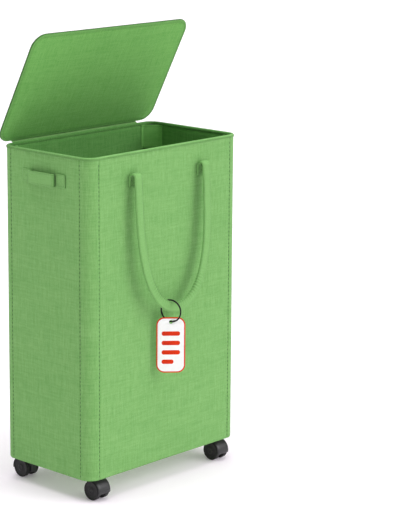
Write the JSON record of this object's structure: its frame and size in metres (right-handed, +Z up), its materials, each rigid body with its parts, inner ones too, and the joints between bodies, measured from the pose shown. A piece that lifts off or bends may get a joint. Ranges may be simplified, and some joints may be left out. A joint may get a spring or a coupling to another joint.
{
  "type": "rolling laundry hamper",
  "caption": "Tall slim fabric laundry hamper with stiff walls, a hinged lid, long strap handles, side grips, a hang tag and twin-wheel swivel casters.",
  "frame": {"origin": "on the floor under the middle of the object's bounding box; the fabric body's own middle is 9.4 mm behind it, because the hang tag juts out in front", "axes": "+Z up, +X to the right seen from the front, -Y towards the front, where the tag hangs; the lid hinges along the back"},
  "size_m": [0.424, 0.3136, 0.8541],
  "materials": {
    "outer_fabric": "light green linen-look woven polyester with slubs, matt",
    "lining": "plain green woven lining, matt",
    "strap": "light green folded and stitched webbing",
    "stiffener": "pressed fibreboard",
    "base_panel": "grained plastic board",
    "rod": "smooth dark grey plastic rod",
    "caster_plastic": "black satin moulded plastic",
    "wheel_plastic": "black wheel with a matt tread",
    "caster_steel": "bright plated steel",
    "ring_wire": "black enamelled wire",
    "card": "white card with an orange-red border"
  },
  "bodies": {
    "hamper_body": {"back_board": "stiffener", "back_handle_left_end": "strap", "back_handle_right_end": "strap", "back_left_caster_stem": "caster_steel", "back_left_corner_strip": "outer_fabric", "back_left_rod_pocket": "lining", "back_left_support_rod": "rod", "back_panel": "outer_fabric", "back_right_caster_stem": "caster_steel", "back_right_corner_strip": "outer_fabric", "back_right_rod_pocket": "lining", "back_right_support_rod": "rod", "base_board": "base_panel", "base_cover": "lining", "floor_pad": "lining", "front_board": "stiffener", "front_handle_left_end": "strap", "front_handle_right_end": "strap", "front_left_caster_stem": "caster_steel", "front_left_corner_strip": "outer_fabric", "front_left_rod_pocket": "lining", "front_left_support_rod": "rod", "front_panel": "outer_fabric", "front_right_caster_stem": "caster_steel", "front_right_corner_strip": "outer_fabric", "front_right_rod_pocket": "lining", "front_right_support_rod": "rod", "left_board": "stiffener", "left_grip": "strap", "left_panel": "outer_fabric", "lid_hinge_strip": "outer_fabric", "lining": "lining", "right_board": "stiffener", "right_grip": "strap", "right_panel": "outer_fabric", "rim_binding": "outer_fabric"},
    "lid": {"lid_board": "stiffener", "lid_inner_cover": "lining", "lid_outer_cover": "outer_fabric", "lid_pull_tab": "strap"},
    "front_handle": {"front_handle": "strap"},
    "back_handle": {"back_handle": "strap"},
    "tag_ring": {"tag_ring": "ring_wire"},
    "tag_card": {"tag_card": "card"},
    "front_left_caster": {"front_left_caster_hood": "caster_plastic", "front_left_caster_axle": "caster_steel"},
    "front_left_caster_left_wheel": {"front_left_caster_left_wheel": "wheel_plastic"},
    "front_left_caster_right_wheel": {"front_left_caster_right_wheel": "wheel_plastic"},
    "front_right_caster": {"front_right_caster_hood": "caster_plastic", "front_right_caster_axle": "caster_steel"},
    "front_right_caster_left_wheel": {"front_right_caster_left_wheel": "wheel_plastic"},
    "front_right_caster_right_wheel": {"front_right_caster_right_wheel": "wheel_plastic"},
    "back_left_caster": {"back_left_caster_hood": "caster_plastic", "back_left_caster_axle": "caster_steel"},
    "back_left_caster_left_wheel": {"back_left_caster_left_wheel": "wheel_plastic"},
    "back_left_caster_right_wheel": {"back_left_caster_right_wheel": "wheel_plastic"},
    "back_right_caster": {"back_right_caster_hood": "caster_plastic", "back_right_caster_axle": "caster_steel"},
    "back_right_caster_left_wheel": {"back_right_caster_left_wheel": "wheel_plastic"},
    "back_right_caster_right_wheel": {"back_right_caster_right_wheel": "wheel_plastic"}
  },
  "joints": [
    {"name": "lid_hinge", "type": "hinge", "parent": "hamper_body", "child": "lid", "pos_m": [0, 0.13041, 0.64], "axis": [-1, 0, 0], "range_deg": [-62.5, 42.5]},
    {"name": "front_handle_fold", "type": "hinge", "parent": "hamper_body", "child": "front_handle", "pos_m": [0, -0.11474, 0.59615], "axis": [-1, 0, 0], "range_deg": [0, 165]},
    {"name": "back_handle_fold", "type": "hinge", "parent": "hamper_body", "child": "back_handle", "pos_m": [0, 0.13356, 0.59615], "axis": [1, 0, 0], "range_deg": [0, 150]},
    {"name": "tag_ring_swing", "type": "hinge", "parent": "front_handle", "child": "tag_ring", "pos_m": [-0.0183, -0.13553, 0.35651], "axis": [-1, 0, 0], "range_deg": [-4, 18]},
    {"name": "tag_card_swing", "type": "hinge", "parent": "tag_ring", "child": "tag_card", "pos_m": [-0.0183, -0.13553, 0.31891], "axis": [0.2419, -0.9703, 0], "range_deg": [-15, 15]},
    {"name": "front_left_swivel", "type": "hinge", "parent": "hamper_body", "child": "front_left_caster", "pos_m": [-0.1635, -0.07259, 0.044], "axis": [0, 0, 1], "continuous": true},
    {"name": "front_left_left_wheel_spin", "type": "hinge", "parent": "front_left_caster", "child": "front_left_caster_left_wheel", "pos_m": [-0.17425, -0.08609, 0.0185], "axis": [1, 0, 0], "continuous": true},
    {"name": "front_left_right_wheel_spin", "type": "hinge", "parent": "front_left_caster", "child": "front_left_caster_right_wheel", "pos_m": [-0.15275, -0.08609, 0.0185], "axis": [1, 0, 0], "continuous": true},
    {"name": "front_right_swivel", "type": "hinge", "parent": "hamper_body", "child": "front_right_caster", "pos_m": [0.1635, -0.07259, 0.044], "axis": [0, 0, 1], "continuous": true},
    {"name": "front_right_left_wheel_spin", "type": "hinge", "parent": "front_right_caster", "child": "front_right_caster_left_wheel", "pos_m": [0.15275, -0.08609, 0.0185], "axis": [1, 0, 0], "continuous": true},
    {"name": "front_right_right_wheel_spin", "type": "hinge", "parent": "front_right_caster", "child": "front_right_caster_right_wheel", "pos_m": [0.17425, -0.08609, 0.0185], "axis": [1, 0, 0], "continuous": true},
    {"name": "back_left_swivel", "type": "hinge", "parent": "hamper_body", "child": "back_left_caster", "pos_m": [-0.1635, 0.09141, 0.044], "axis": [0, 0, 1], "continuous": true},
    {"name": "back_left_left_wheel_spin", "type": "hinge", "parent": "back_left_caster", "child": "back_left_caster_left_wheel", "pos_m": [-0.17425, 0.10491, 0.0185], "axis": [1, 0, 0], "continuous": true},
    {"name": "back_left_right_wheel_spin", "type": "hinge", "parent": "back_left_caster", "child": "back_left_caster_right_wheel", "pos_m": [-0.15275, 0.10491, 0.0185], "axis": [1, 0, 0], "continuous": true},
    {"name": "back_right_swivel", "type": "hinge", "parent": "hamper_body", "child": "back_right_caster", "pos_m": [0.1635, 0.09141, 0.044], "axis": [0, 0, 1], "continuous": true},
    {"name": "back_right_left_wheel_spin", "type": "hinge", "parent": "back_right_caster", "child": "back_right_caster_left_wheel", "pos_m": [0.15275, 0.10491, 0.0185], "axis": [1, 0, 0], "continuous": true},
    {"name": "back_right_right_wheel_spin", "type": "hinge", "parent": "back_right_caster", "child": "back_right_caster_right_wheel", "pos_m": [0.17425, 0.10491, 0.0185], "axis": [1, 0, 0], "continuous": true}
  ]
}
